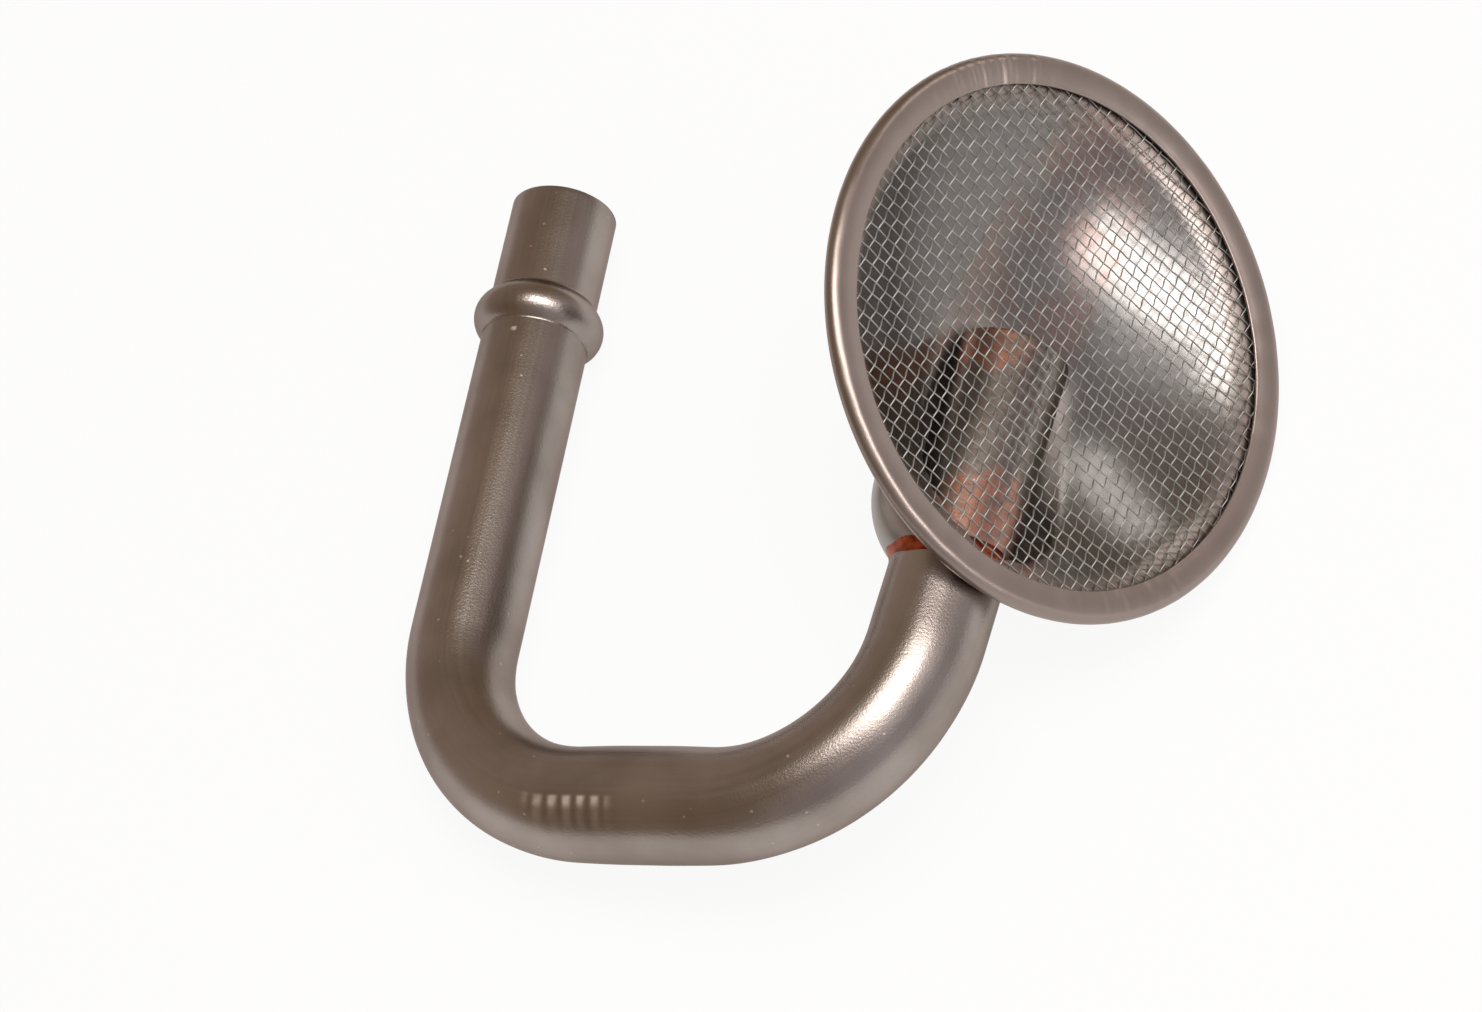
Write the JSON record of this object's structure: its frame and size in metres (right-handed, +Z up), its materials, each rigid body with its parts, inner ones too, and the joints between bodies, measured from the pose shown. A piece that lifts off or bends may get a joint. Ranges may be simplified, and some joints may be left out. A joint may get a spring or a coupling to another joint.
{
  "type": "oil pickup tube",
  "caption": "Press-in oil pickup: a bent steel tube with a bead near its open end, brazed into the side of a pressed round strainer cup whose rolled rim holds a woven wire screen.",
  "frame": {"origin": "centre of the tube's open press-in end", "axes": "+Y out along the press-in axis, +Z up from the surface that the part lies on, +X from the leg towards the strainer"},
  "size_m": [0.1442, 0.1374, 0.0771],
  "materials": {
    "tube_steel": "bare drawn steel, satin, warm grey",
    "cup_steel": "bare pressed sheet steel, satin",
    "screen_wire": "galvanised wire, light grey",
    "copper": "furnace-brazed copper"
  },
  "bodies": {
    "root": {"pickup_tube": "tube_steel", "strainer_cup": "cup_steel", "screen": "screen_wire", "braze": "copper"}
  },
  "joints": []
}
